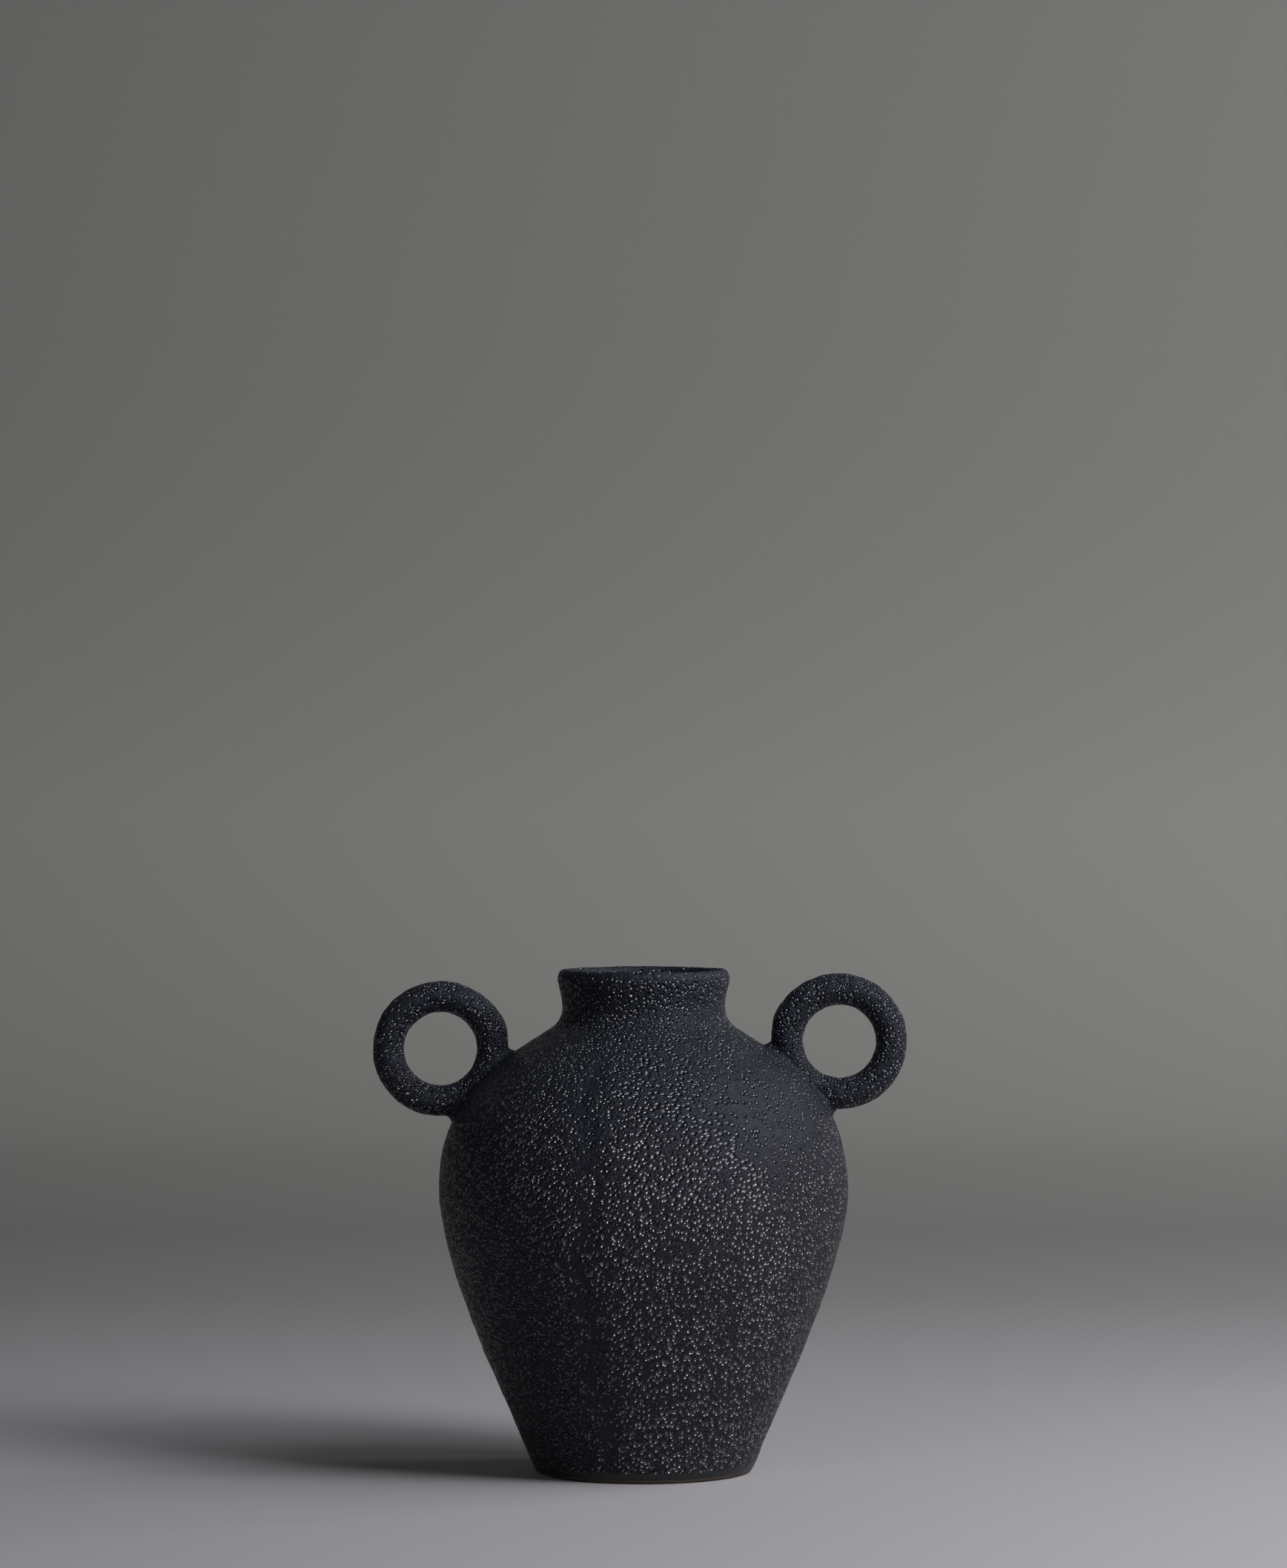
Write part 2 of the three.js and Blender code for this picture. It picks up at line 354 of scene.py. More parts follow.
# How far the clay is out of true at each scale, how far from each ring the glaze runs smooth, and
# where a calm patch of glaze lies on the shoulder.
UNEVEN = ((DRIFT, 0.6 * MM), (PATCH, 0.4 * MM), (RIPPLE, 0.2 * MM), (PEBBLE, 0.22 * MM))
SMOOTHED = {"left": (0.5 * MM, 7.0 * MM), "right": (1.0 * MM, 14 * MM)}
CALM_PATCH = np.array([51, -57, 182]) * MM
CALM_REACH = (16 * MM, 46 * MM)
BARE_EDGE = 1.9 * MM
CREASE_AT = math.radians(-11)
CREASE_ROUND = math.radians(3)
CREASE_WIDTH = math.radians(11)
CREASE_WANDER = math.radians(9)
CREASE_DEPTH = 0.7 * MM
DIP_WIDTH = math.radians(4.5)
DIP_DEPTH = 0.6 * MM


def body_skin(path, columns):
    """The glazed skin and its marks. The turned path is moved along its normal by the hand's
    unevenness and by one upright crease left of the front: a ridge between hollows D b e^(1-b)
    deep, with b the distance from its line over its width, and a narrow dip e^(-s^2) on its
    left. The marks are the share of the glaze bubbles that burst, lower in the dip, beside the
    rings, on one calm patch of the shoulder, at the foot and over the lip, and the size of
    their pits, largest on the front and back and small under the neck."""
    base = turned(path, columns)
    height = base[..., 2]
    azimuth = np.arctan2(base[..., 0], -base[..., 1])
    patchy = soft_noise(base, PATCH)
    below_neck = ease(0.0, 20 * MM, neck_seat - height)
    off_crease = azimuth - CREASE_AT - CREASE_WANDER * soft_noise(base, DRIFT)
    beside = np.sqrt(off_crease ** 2 + CREASE_ROUND ** 2) / CREASE_WIDTH
    dip = np.exp(-(off_crease / DIP_WIDTH + 1.2) ** 2) * below_neck
    lift = sum(depth * soft_noise(base, cells) for cells, depth in UNEVEN)
    lift = lift - CREASE_DEPTH * beside * np.exp(1 - beside) * below_neck - DIP_DEPTH * dip
    glazed = ease(-0.3 * MM, 0.3 * MM, height - BARE_EDGE + 1.2 * MM * soft_noise(base, RIPPLE))
    lift = lift * ease(0.0, 6 * MM, height) - 0.25 * MM * (1 - glazed)
    burst = 1.0 + 0.3 * patchy - 0.5 * dip
    for side, (start, stop) in SMOOTHED.items():
        burst = np.minimum(burst, ease(start, stop, ring_distance(base, side) + 6 * MM * patchy))
    from_patch = np.linalg.norm(base - CALM_PATCH, axis=-1) + 24 * MM * patchy
    burst = np.minimum(burst, 0.42 + 0.58 * ease(*CALM_REACH, from_patch))
    burst = np.minimum(burst, ease(BARE_EDGE, 5 * MM, height))
    burst = burst * (1 - 0.6 * ease(lip_height, lip_height + 3 * MM, height))
    size = np.abs(np.cos(azimuth - 0.35)) ** 3 * (0.6 + 0.4 * ease(90 * MM, 150 * MM, height))
    size = size * (1 - 0.75 * ease(neck_seat - 35 * MM, neck_seat, height))
    size = np.clip(0.05 + 0.9 * size + 0.5 * patchy, 0.0, 1.0)
    return base + grid_normals(base) * lift[..., None], np.stack([burst, size], -1)


def clay_shell(name, grid, marks, normals=None, hard_rows=(), poles=False):
    """A closed mesh from a grid of points: quads between neighbours, round in the columns,
    and round in the rows too, unless poles close its first and last rows with fans.
    Rows listed as hard get a sharp edge, and the first rows keep the normals that are given.
    The marks are kept as attributes for the glaze."""
    rows, columns = grid.shape[:2]
    index = np.arange(rows * columns).reshape(rows, columns)
    lower = index[:-1] if poles else index
    upper = index[1:] if poles else np.roll(index, -1, 0)
    quads = np.stack([lower, np.roll(lower, -1, 1), np.roll(upper, -1, 1), upper], -1)
    points = grid.reshape(-1, 3)
    marks = marks.reshape(-1, 2)
    corners = quads.reshape(-1)
    starts = np.arange(quads.shape[0] * columns) * 4
    along = np.arange(columns + 1) / columns
    u = np.stack([along[:-1], along[1:], along[1:], along[:-1]], -1)
    v = (np.arange(quads.shape[0])[:, None, None] + np.array([0, 0, 1, 1])) / quads.shape[0]
    uv = np.stack(np.broadcast_arrays(u[None], v), -1).reshape(-1, 2)
    if poles:
        # A point in the middle of the first and of the last row, and a fan of triangles to each.
        centres = np.stack([grid[0].mean(0), grid[-1].mean(0)])
        points = np.vstack([points, centres])
        marks = np.vstack([marks, marks[:1], marks[-1:]])
        low_fan = np.stack([np.roll(index[0], -1), index[0], index[0] * 0 + rows * columns], -1)
        high_fan = np.stack([index[-1], np.roll(index[-1], -1),
                             index[-1] * 0 + rows * columns + 1], -1)
        fans = np.vstack([low_fan, high_fan]).reshape(-1)
        starts = np.concatenate([starts, len(corners) + np.arange(2 * columns) * 3])
        corners = np.concatenate([corners, fans])
        uv = np.vstack([uv, np.zeros((len(fans), 2))])
    mesh = bpy.data.meshes.new(name)
    mesh.vertices.add(len(points))
    mesh.vertices.foreach_set("co", points.astype(np.float32).ravel())
    mesh.loops.add(len(corners))
    mesh.loops.foreach_set("vertex_index", corners.astype(np.int32))
    mesh.polygons.add(len(starts))
    mesh.polygons.foreach_set("loop_start", starts.astype(np.int32))
    mesh.update(calc_edges=True)
    mesh.shade_smooth()
    layer = mesh.uv_layers.new(name="OFBake")
    layer.uv.foreach_set("vector", uv.astype(np.float32).ravel())
    for place, title in enumerate(("burst", "pit_size")):
        kept = mesh.attributes.new(title, "FLOAT", "POINT")
        kept.data.foreach_set("value", marks[:, place].astype(np.float32))
    if hard_rows:
        ends = np.empty(len(mesh.edges) * 2, np.int32)
        mesh.edges.foreach_get("vertices", ends)
        row_of = ends.reshape(-1, 2) // columns
        sharp = (row_of[:, 0] == row_of[:, 1]) & np.isin(row_of[:, 0], hard_rows)
        mark = mesh.attributes.new("sharp_edge", "BOOLEAN", "EDGE")
        mark.data.foreach_set("value", sharp)
    if normals is not None:
        # A zero normal leaves a corner as it is: on the lining and on the flat ends.
        own = np.zeros((rows, columns, 3))
        own[:len(normals)] = normals
        per_corner = own.reshape(-1, 3)[corners]
        face_row = np.repeat(np.arange(quads.shape[0]), columns * 4)
        joints = [row for row in hard_rows if row + 1 in hard_rows]
        plain = (face_row >= len(normals) - 1) | np.isin(face_row, joints)
        per_corner[:len(face_row)][plain] = 0.0
        mesh.normals_split_custom_set(per_corner.tolist())
    piece = bpy.data.objects.new(name, mesh)
    scene.collection.objects.link(piece)
    return piece


# A black stoneware glaze full of burst bubbles. Between the pits it is satin and almost black.
# In a pit it pooled to a smooth gloss, so most pits show one small round glint of the lamp.
black_glaze = bpy.data.materials.new("pitted_black_glaze")
black_glaze.use_nodes = True
glaze = black_glaze.node_tree
on_pot = add_node(glaze, "TexCoord").outputs["Object"]
burst_share = add_node(glaze, "Attribute", {"attribute_name": "burst"}).outputs["Fac"]
pit_size = add_node(glaze, "Attribute", {"attribute_name": "pit_size"}).outputs["Fac"]
WARP = 0.28 * MM
warp = add_node(glaze, "TexNoise", {"Scale": 1 / (1.8 * MM), "Detail": 2.0, "Vector": on_pot})
ragged = add_node(glaze, "VectorMath", {"operation": "MULTIPLY_ADD", 0: warp.outputs["Color"],
                                        1: (WARP,) * 3, 2: on_pot})


def burst_bubbles(pitch, radius, spread, bowl, cone, share):
    """Depth in metres of the pits that burst bubbles leave round the cell centres of a pitch,
    for a share of the cells: bowl sqrt(r^2 - d^2) + cone (r - d), with d the distance
    from the centre. The radius r and its spread are shares of the pitch."""
    cells = add_node(glaze, "TexVoronoi", {"Scale": 1 / pitch, "Vector": ragged})
    away = cells.outputs["Distance"]
    chance = add_node(glaze, "SeparateColor", {0: cells.outputs["Color"]}).outputs
    rim = add_node(glaze, "Math", {"operation": "MULTIPLY_ADD", 0: chance[0], 1: spread, 2: radius})
    inside = add_node(glaze, "Math", {"operation": "SUBTRACT", "use_clamp": True, 0: rim, 1: away})
    beyond = add_node(glaze, "Math", {"operation": "ADD", 0: rim, 1: away})
    square = add_node(glaze, "Math", {"operation": "MULTIPLY", 0: inside, 1: beyond})
    chord = add_node(glaze, "Math", {"operation": "SQRT", 0: square})
    funnel = add_node(glaze, "Math", {"operation": "MULTIPLY", 0: inside, 1: cone})
    depth = add_node(glaze, "Math", {"operation": "MULTIPLY_ADD", 0: chord, 1: bowl, 2: funnel})
    metres = add_node(glaze, "Math", {"operation": "MULTIPLY", 0: depth, 1: pitch})
    is_open = add_node(glaze, "Math", {"operation": "LESS_THAN", 0: chance[1], 1: share})
    return add_node(glaze, "Math", {"operation": "MULTIPLY", 0: metres, 1: is_open})


# Large pits lie on the front and back, small ones fill the sides, and pinholes are steep.
large_radius = add_node(glaze, "MapRange", {"Value": pit_size, "To Min": 0.32, "To Max": 0.54})
large_bowl = add_node(glaze, "MapRange", {"Value": pit_size, "To Min": 1.1, "To Max": 1.0})
large_pits = burst_bubbles(pitch=2.6 * MM, radius=large_radius, spread=0.12, bowl=large_bowl,
                           cone=0.25, share=burst_share)
small_radius = add_node(glaze, "MapRange", {"Value": pit_size, "To Min": 0.42, "To Max": 0.22})
small_share = add_node(glaze, "Math", {"operation": "MULTIPLY", 0: burst_share, 1: 0.65})
small_pits = burst_bubbles(pitch=1.8 * MM, radius=small_radius, spread=0.12, bowl=1.05,
                           cone=0.2, share=small_share)
hole_chance = add_node(glaze, "MapRange", {"Value": pit_size, "To Min": 0.9, "To Max": 0.3})
hole_share = add_node(glaze, "Math", {"operation": "MULTIPLY", 0: burst_share, 1: hole_chance})
pinholes = burst_bubbles(pitch=1.7 * MM, radius=0.2, spread=0.12, bowl=1.0, cone=1.2,
                         share=hole_share)
pits = add_node(glaze, "Math", {"operation": "MAXIMUM", 0: large_pits, 1: small_pits})
pit_depth = add_node(glaze, "Math", {"operation": "MAXIMUM", 0: pits, 1: pinholes})
hollow = add_node(glaze, "MapRange", {"Value": pit_depth, "From Max": 0.3 * MM})
deep = add_node(glaze, "MapRange", {"Value": pit_depth, "From Min": 0.35 * MM, "From Max": 0.85 * MM})
painted_pinhole_shade = add_node(glaze, "MapRange", {"Value": pinholes, "From Min": 0.05 * MM, "From Max": 0.25 * MM})

# Colour: brown-black low on the pot and blue-black high, in clouds. Pits are painted dark at the
# rim, as shade where the hollow falls away, and lighter toward the floor, and pinholes are painted
# black, as shade in a deep hole.
height = add_node(glaze, "SeparateXYZ", {0: on_pot}).outputs["Z"]
cloud = add_node(glaze, "TexNoise", {"Scale": 1 / (28 * MM), "Detail": 3.0, "Vector": on_pot})
clouded = add_node(glaze, "Math", {"operation": "MULTIPLY_ADD", 0: cloud, 1: 160 * MM, 2: height})
blueness = add_node(glaze, "MapRange", {"Value": clouded, "From Min": 160 * MM, "From Max": 270 * MM})
land = add_node(glaze, "Mix", {"data_type": "RGBA", 0: blueness,
                               6: linear("#211c23"), 7: linear("#171c26")})
# Painted shade: each pit is dark at its rim and lighter toward its floor.
pit_tone_with_painted_rim_shade = add_node(glaze, "Mix", {"data_type": "RGBA", 0: deep, 6: linear("#0b0b0f"), 7: linear("#1e1f27")})
shaded = add_node(glaze, "Mix", {"data_type": "RGBA", 0: hollow, 6: land.outputs[2], 7: pit_tone_with_painted_rim_shade.outputs[2]})
# Painted shade: pinholes go black.
holed = add_node(glaze, "Mix", {"data_type": "RGBA", 0: painted_pinhole_shade, 6: shaded.outputs[2],
                                7: linear("#060607")})

# Gloss: the lands are satin and uneven, a pit is smooth, and a pinhole reflects next to nothing,
# which adds to its painted shade.
grain = add_node(glaze, "TexNoise", {"Scale": 1 / (0.9 * MM), "Detail": 3.0, "Vector": on_pot})
satin = add_node(glaze, "MapRange", {"Value": grain, "To Min": 0.38, "To Max": 0.68})
gloss = add_node(glaze, "Mix", {"data_type": "FLOAT", 0: hollow, 2: satin, 3: 0.22})
pooled = add_node(glaze, "MapRange", {"Value": deep, "To Min": 0.17, "To Max": 0.95})
lit = add_node(glaze, "Math", {"operation": "MULTIPLY_ADD", 0: painted_pinhole_shade, 1: -0.9, 2: 1.0})
sheen = add_node(glaze, "Math", {"operation": "MULTIPLY", 0: pooled, 1: lit})

# Relief: a soft orange peel and a grit on the lands, less the pits.
peel = add_node(glaze, "TexNoise", {"Scale": 1 / (3.5 * MM), "Detail": 1.0, "Vector": on_pot})
grit_depth = add_node(glaze, "Math", {"operation": "MULTIPLY_ADD", 0: burst_share,
                                      1: 0.6 * MM, 2: 0.45 * MM})
gritty = add_node(glaze, "Math", {"operation": "MULTIPLY", 0: grain, 1: grit_depth})
on_land = add_node(glaze, "Math", {"operation": "MULTIPLY_ADD", 0: hollow, 1: -0.9, 2: 1.0})
land_grit = add_node(glaze, "Math", {"operation": "MULTIPLY", 0: gritty, 1: on_land})
lands = add_node(glaze, "Math", {"operation": "MULTIPLY_ADD", 0: peel, 1: 0.75 * MM, 2: land_grit})
relief = add_node(glaze, "Math", {"operation": "SUBTRACT", 0: lands, 1: pit_depth})
bump = add_node(glaze, "Bump", {"Strength": 1.0, "Distance": 1.0, "Height": relief})
glaze_shader = glaze.nodes["Principled BSDF"]
glaze_shader.inputs["IOR"].default_value = 1.66
glaze_shader.inputs["Specular Tint"].default_value = linear("#f1f3ff")
glaze.links.new(sheen.outputs[0], glaze_shader.inputs["Specular IOR Level"])
glaze.links.new(holed.outputs[2], glaze_shader.inputs["Base Color"])
glaze.links.new(gloss.outputs[0], glaze_shader.inputs["Roughness"])
glaze.links.new(bump.outputs["Normal"], glaze_shader.inputs["Normal"])

outline = outer_path()
COLUMNS = 900
ROW_PITCH = 0.66 * MM
stretches = [even(between(outline, low, high), ROW_PITCH) for low, high in (
    (0.0, foot_top), (foot_top, wall_foot), (wall_foot, belly_height),
    (belly_height, neck_seat), (neck_seat, neck_seat + ROW_PITCH))]
body_path, joint_rows = end_to_end(stretches)
slab_row, wall_row, belly_row, neck_row = joint_rows[:4]
skin, skin_marks = body_skin(body_path, COLUMNS)
skin_normals = grid_normals(skin)

# The foot ring: a turned ring under the pot, wiped clean of glaze at its lower edge so that it
# doesn't stick to the kiln shelf. The bare stoneware is dark brown, dry and finely gritty.
FOOT_WIDTH = 11 * MM
wiped_stoneware = bpy.data.materials.new("wiped_stoneware")
wiped_stoneware.use_nodes = True
stoneware = wiped_stoneware.node_tree
on_foot = add_node(stoneware, "TexCoord").outputs["Object"]
above = add_node(stoneware, "SeparateXYZ", {0: on_foot}).outputs["Z"]
wobble = add_node(stoneware, "TexNoise", {"Scale": 1 / (5 * MM), "Detail": 3.0, "Vector": on_foot})
wavy = add_node(stoneware, "Math", {"operation": "MULTIPLY_ADD", 0: wobble, 1: -1.6 * MM, 2: above})
glazed = add_node(stoneware, "MapRange", {"Value": wavy, "From Min": BARE_EDGE - 1.0 * MM,
                                          "From Max": BARE_EDGE - 0.7 * MM})
grit = add_node(stoneware, "TexNoise", {"Scale": 1 / (0.6 * MM), "Detail": 3.0, "Vector": on_foot})
clay = add_node(stoneware, "Mix", {"data_type": "RGBA", 0: grit,
                                   6: linear("#2b241f"), 7: linear("#54483c")})
cover = add_node(stoneware, "Mix", {"data_type": "RGBA", 0: glazed, 6: clay.outputs[2],
                                    7: linear("#161618")})
matt = add_node(stoneware, "MapRange", {"Value": glazed, "To Min": 0.92, "To Max": 0.42})
rough_clay = add_node(stoneware, "Bump", {"Strength": 0.5, "Distance": 0.08 * MM, "Height": grit})
clay_shader = stoneware.nodes["Principled BSDF"]
stoneware.links.new(cover.outputs[2], clay_shader.inputs["Base Color"])
stoneware.links.new(matt.outputs["Result"], clay_shader.inputs["Roughness"])
stoneware.links.new(rough_clay.outputs["Normal"], clay_shader.inputs["Normal"])


def dressed(piece, node, material):
    """The piece gets its material, rides on the pot and stands for its CAD node."""
    piece.data.materials.append(material)
    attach(piece, "root")
    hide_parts(node)


inner_foot = FOOT_RADIUS - FOOT_WIDTH
under = np.array([
    [inner_foot, foot_top], [inner_foot, foot_top / 2], [inner_foot, 0.8 * MM],
    [inner_foot + 0.3 * MM, 0.2 * MM], [inner_foot + 0.9 * MM, 0.0],
    [inner_foot + 4 * MM, 0.0], [FOOT_RADIUS - 4 * MM, 0.0],
])
foot_grid = np.vstack([skin[:slab_row + 1], turned(under, COLUMNS)])
foot_marks = np.vstack([skin_marks[:slab_row + 1], np.zeros((len(under), COLUMNS, 2))])
foot = clay_shell("foot_ring_wiped", foot_grid, foot_marks, skin_normals[:slab_row + 1],
                  (0, slab_row, slab_row + 1))
dressed(foot, "foot_ring", wiped_stoneware)

# The base slab: the round floor of the pot, a disc of clay rolled and cut to a circle. Its edge
# shows as the lowest stretch of the wall, its top is the glazed floor inside, and a low boss
# below keys into the foot ring.
WALL = 6 * MM
GROOVE_PITCH = 8 * MM
QUIET_MARKS = (0.5, 0.1)
outline_length = np.concatenate([[0.0], np.cumsum(np.linalg.norm(np.diff(outline, axis=0), axis=1))])
outline_along = unit(np.gradient(outline, outline_length, axis=0))
outline_out = np.stack([outline_along[:, 1], -outline_along[:, 0]], 1)
lining_path = outline - WALL * outline_out
recess_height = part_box("base_slab")[0].z
below = np.array([[0.6 * MM, recess_height], [inner_foot / 2, recess_height],
                  [inner_foot - 0.8 * MM, recess_height],
                  [inner_foot - 0.3 * MM, recess_height + 0.5 * MM],
                  [inner_foot - 0.3 * MM, foot_top]])
lining_foot = float(np.interp(wall_foot, lining_path[:, 1], lining_path[:, 0]))
floor_radius = np.linspace(1.0, 0.012, 22) * lining_foot
floor_height = wall_foot + 0.4 * MM * np.cos(2 * np.pi * floor_radius / GROOVE_PITCH) - 0.4 * MM
inside_floor = np.stack([floor_radius, floor_height], 1)
edge_rows = skin[slab_row:wall_row + 1]
slab_grid = np.vstack([turned(below, COLUMNS), edge_rows, turned(inside_floor, COLUMNS)])
slab_marks = np.vstack([np.zeros((len(below), COLUMNS, 2)), skin_marks[slab_row:wall_row + 1],
                        np.full((len(inside_floor), COLUMNS, 2), QUIET_MARKS)])
edge_foot = len(below)
edge_top = edge_foot + len(edge_rows)
slab = clay_shell("base_slab_glazed", slab_grid, slab_marks, None,
                  (edge_foot - 1, edge_foot, edge_top - 1, edge_top), poles=True)
dressed(slab, "base_slab", black_glaze)

# The lower wall: a thrown cone that flares from the base to the widest line. It is made in
# three bands, so that each has a close mesh and still stays a piece of moderate size.
GROOVE_DEPTH = 0.3 * MM
LOWER_BANDS = 3


def lining(low, high, columns, steps):
    """The inner face of the wall from a height down to another: the outline less the wall,
    with the shallow spiral groove of the thrower's fingers."""
    z = np.linspace(high, low, steps)[:, None]
    angle = np.arange(columns) * 2 * np.pi / columns
    r = np.interp(z, np.maximum.accumulate(lining_path[:, 1]), lining_path[:, 0])
    r = r + GROOVE_DEPTH * np.sin(2 * np.pi * z / GROOVE_PITCH + angle)
    return np.stack([r * np.cos(angle), r * np.sin(angle), z + 0 * angle], -1)


def wall_bands(node, low_row, high_row, bands, steps):
    """The wall between two rows of the skin as bands: the skin outside, the lining inside and
    flat ends."""
    cuts = np.linspace(low_row, high_row, bands + 1).round().astype(int)
    for count, (first, last) in enumerate(zip(cuts[:-1], cuts[1:]), 1):
        outside = skin[first:last + 1]
        inside = lining(body_path[first, 1], body_path[last, 1], COLUMNS, steps)
        marks = np.vstack([skin_marks[first:last + 1], np.full((*inside.shape[:2], 2), QUIET_MARKS)])
        rows = len(outside)
        band = clay_shell(f"{node}_band_{count}", np.vstack([outside, inside]), marks,
                          skin_normals[first:last + 1], (0, rows - 1, rows, rows + steps - 1))
        dressed(band, node, black_glaze)


wall_bands("lower_wall", wall_row, belly_row, LOWER_BANDS, 5)

# The shoulder wall: the thrown upper half, closed in from the widest line to the foot of the
# neck. Its right side lay calmer in the kiln, so fewer bubbles burst there and the glaze is
# smooth between them.
SHOULDER_BANDS = 2
wall_bands("shoulder_wall", belly_row, neck_row, SHOULDER_BANDS, 7)

# The neck collar and the lip: a short waisted collar set on the shoulder, and a thicker coil
# laid on it and rounded over. The same glaze covers them outside, over the lip and inside.
LIP_THICKNESS = 6.5 * MM
NECK_COLUMNS = 600
NECK_PITCH = 0.55 * MM
turn = np.linspace(0.0, np.pi, 90)
crown = np.stack([lip_radius - LIP_THICKNESS / 2 * (1 - np.cos(turn)),
                  lip_height + LIP_CROWN * np.sin(turn)], 1)
rising = np.stack([lining_path[:, 0], np.maximum.accumulate(lining_path[:, 1])], 1)
lip_in = np.vstack([between(rising, lip_seat, lip_seat + 1.5 * MM),
                    [[lip_radius - LIP_THICKNESS, lip_height]]])[::-1]
neck_parts = [even(part, NECK_PITCH) for part in (
    between(outline, neck_seat - NECK_PITCH, neck_seat),
    between(outline, neck_seat, lip_seat), between(outline, lip_seat, lip_height),
    crown, lip_in, between(rising, neck_seat, lip_seat)[::-1],
    between(rising, neck_seat - NECK_PITCH, neck_seat)[::-1])]
neck_path, neck_ends = end_to_end(neck_parts)
neck_foot, lip_foot, _, _, lip_inner, neck_inner = neck_ends[:6]
neck_skin, neck_marks = body_skin(neck_path, NECK_COLUMNS)
neck_normals = grid_normals(neck_skin)

outside, inside = slice(neck_foot, lip_foot + 1), slice(lip_inner, neck_inner + 1)
collar_rows = lip_foot - neck_foot + 1
collar = clay_shell("neck_collar_glazed", np.vstack([neck_skin[outside], neck_skin[inside]]),
                    np.vstack([neck_marks[outside], neck_marks[inside]]),
                    np.vstack([neck_normals[outside], neck_normals[inside]]),
                    (0, collar_rows - 1, collar_rows, collar_rows + neck_inner - lip_inner))
dressed(collar, "neck_collar", black_glaze)
over = slice(lip_foot, lip_inner + 1)
lip = clay_shell("lip_ring_glazed", neck_skin[over], neck_marks[over], neck_normals[over],
                 (0, lip_inner - lip_foot))
dressed(lip, "lip_ring", black_glaze)

# The ring handles: two rolls of clay bent into closed rings, pressed upright on the shoulder,
# the left one a little lower. A roll is never quite even, each ring swells a little on the
# side of the neck, and the pits in its glaze are small ones.
RING_COLUMNS = 560
TUBE_ROWS = 104
SEAT_DEPTH = 0.8 * MM
ROOT_SWELL = {"left": (0.45, 0.7 * MM), "right": (math.pi - 0.45, 1.2 * MM)}


def below_wall(points):
    """Signed distance of each point from the undisplaced wall, negative in the clay, and the
    wall's outward direction there, found in four steps along the outline."""
    radius = np.hypot(points[..., 0], points[..., 1])
    at = np.interp(points[..., 2], outline[:, 1], outline_length)
    for _ in range(4):
        foot_of = [np.interp(at, outline_length, outline[:, k]) for k in (0, 1)]
        way = [np.interp(at, outline_length, outline_along[:, k]) for k in (0, 1)]
        at = at + (radius - foot_of[0]) * way[0] + (points[..., 2] - foot_of[1]) * way[1]
    out = [np.interp(at, outline_length, outline_out[:, k]) for k in (0, 1)]
    distance = (radius - foot_of[0]) * out[0] + (points[..., 2] - foot_of[1]) * out[1]
    sideways = out[0] / np.maximum(radius, 1e-6)
    return distance, np.stack([points[..., 0] * sideways, points[..., 1] * sideways, out[1]], -1)


def ring_skin(side):
    """C + (R + t cos b) e(a) - t sin b y, with e(a) in the plane of the ring and the roll's
    radius t uneven by the hand. What would lie deep in the shoulder is lifted to just
    under its surface, which flattens the seat, and no bubble burst right beside it."""
    a = np.arange(RING_COLUMNS) * 2 * np.pi / RING_COLUMNS
    b = np.arange(TUBE_ROWS)[:, None] * 2 * np.pi / TUBE_ROWS
    spoke = np.stack([np.cos(a), 0 * a, np.sin(a)], -1)
    middle = CENTRE[side] + (REACH[side] - TUBE[side]) * spoke
    out = np.cos(b)[..., None] * spoke - np.sin(b)[..., None] * np.array([0.0, 1.0, 0.0])
    base = middle + TUBE[side] * out
    uneven = 0.7 * MM * soft_noise(base, PATCH) + 0.3 * MM * soft_noise(base, RIPPLE)
    uneven = uneven + 0.35 * MM * soft_noise(base, PEBBLE)
    place, swell = ROOT_SWELL[side]
    apart = np.angle(np.exp(1j * (a - place)))
    uneven = uneven + swell * np.exp(-(apart / 0.35) ** 2) * np.clip(np.cos(b), 0, 1)
    depth, _ = below_wall(base)
    burst = ease(0.3 * MM, 4.0 * MM, depth)
    points = base + out * uneven[..., None]
    depth, up = below_wall(points)
    lift = np.clip(-SEAT_DEPTH - depth, 0.0, None)
    return points + up * lift[..., None], np.stack([burst, 0.0 * burst], -1)


for side in ("left", "right"):
    points, marks = ring_skin(side)
    ring = clay_shell(f"ring_handle_{side}", points, marks)
    dressed(ring, f"handle_{side}", black_glaze)

# The luting: a thin bead of soft clay pressed into the corner between ring and shoulder and
# drawn smooth with a wet finger, so that it shows as a small hollow fillet all round the seat.
LOOP_COLUMNS = 420
FILLET = {"left": 2.6 * MM, "right": 3.0 * MM}
ARC_STEPS = 12
TUCK = 0.9 * MM


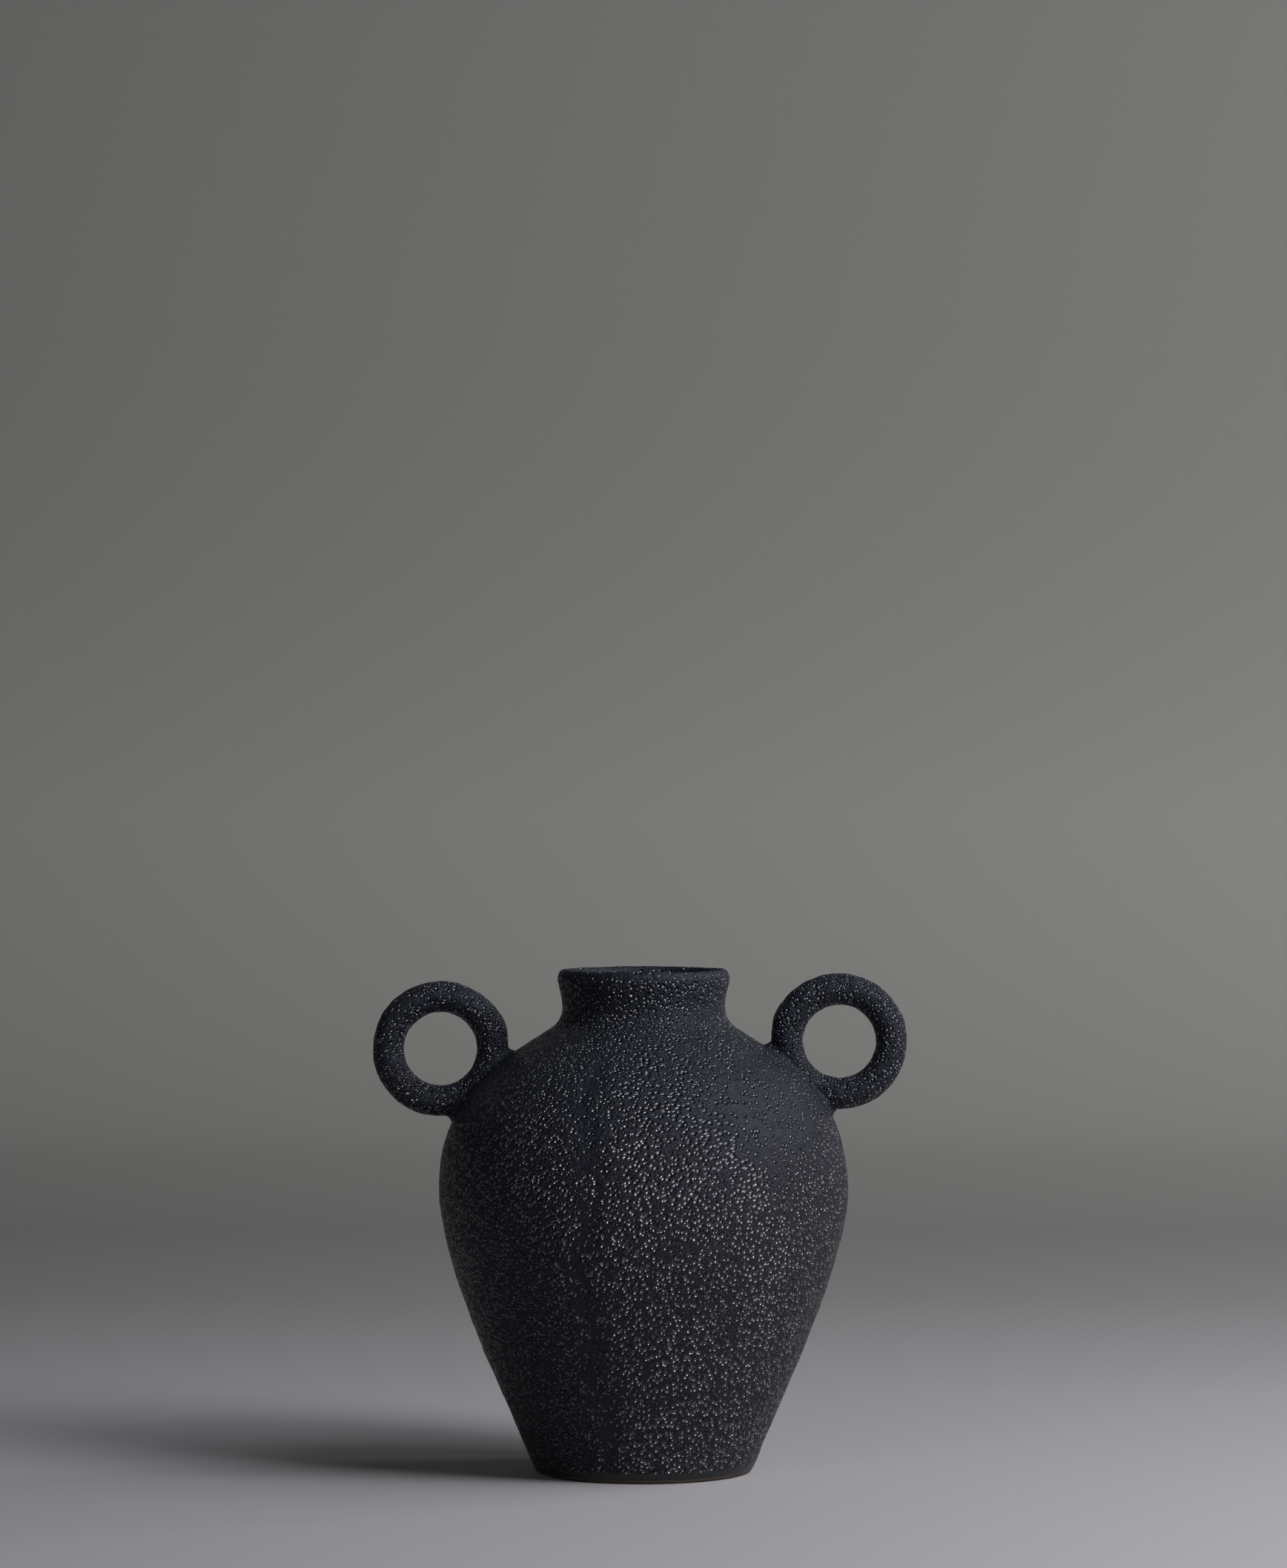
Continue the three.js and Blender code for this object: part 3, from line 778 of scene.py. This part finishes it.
def seat_fillet(side):
    """A ball that touches both the wall and the ring rolls round the seat, and the fillet is
    the arc between its two points of contact. The ball's centre is found, for each direction
    from the middle of the seat, by halving the distance at which it touches the ring."""
    ball = FILLET[side]
    lifted = outline + ball * outline_out
    sign = 1.0 if side == "right" else -1.0
    away = np.hypot(lifted[:, 0] - sign * CENTRE[side][0], lifted[:, 1] - CENTRE[side][2])
    start = outline_length[np.argmin(away)]
    turn = np.arange(LOOP_COLUMNS) * 2 * np.pi / LOOP_COLUMNS

    def ball_centre(reach):
        at = start + reach * np.sin(turn)
        r, z = (np.interp(at, outline_length, lifted[:, k]) for k in (0, 1))
        angle = reach * np.cos(turn) / r
        out = [np.interp(at, outline_length, outline_out[:, k]) for k in (0, 1)]
        centre = np.stack([sign * r * np.cos(angle), r * np.sin(angle), z], -1)
        wall = np.stack([sign * out[0] * np.cos(angle), out[0] * np.sin(angle), out[1]], -1)
        return centre, unit(wall)

    near, far = np.zeros(LOOP_COLUMNS), np.full(LOOP_COLUMNS, 45 * MM)
    for _ in range(40):
        middle = (near + far) / 2
        touching = ring_distance(ball_centre(middle)[0], side) < ball
        near, far = np.where(touching, middle, near), np.where(touching, far, middle)
    centre, wall = ball_centre(near)
    spoke = unit((centre - CENTRE[side]) * [1, 0, 1])
    roll = unit(centre - (CENTRE[side] + (REACH[side] - TUBE[side]) * spoke))
    spread = np.arccos(np.clip((wall * roll).sum(-1), -1, 1))[:, None]
    t = np.linspace(0.0, 1.0, ARC_STEPS)[:, None, None]
    arc = (np.sin((1 - t) * spread) * wall + np.sin(t * spread) * roll) / np.sin(spread)
    surface = centre - ball * unit(arc)
    surface = surface + unit(arc) * (0.25 * MM * soft_noise(surface, RIPPLE)
                                     * np.sin(np.pi * t[..., 0]))[..., None]
    under_ring = surface[-1] - TUCK * roll
    under_wall = surface[0] - TUCK * wall
    corner = (under_ring + under_wall) / 2 - 0.5 * TUCK * unit(wall + roll)
    return np.concatenate([surface, [under_ring, corner, under_wall]])


for side in ("left", "right"):
    fillet = seat_fillet(side)
    facing = np.cross(fillet[0, 1] - fillet[0, 0], fillet[1, 0] - fillet[0, 0])
    if facing @ (fillet[ARC_STEPS // 2, 0] - fillet[-2, 0]) < 0:
        fillet = fillet[:, ::-1]
    bead_marks = np.full((*fillet.shape[:2], 2), QUIET_MARKS)
    bead = clay_shell(f"luting_bead_{side}", fillet, bead_marks, None, (0, ARC_STEPS - 1))
    dressed(bead, f"luting_{side}", black_glaze)
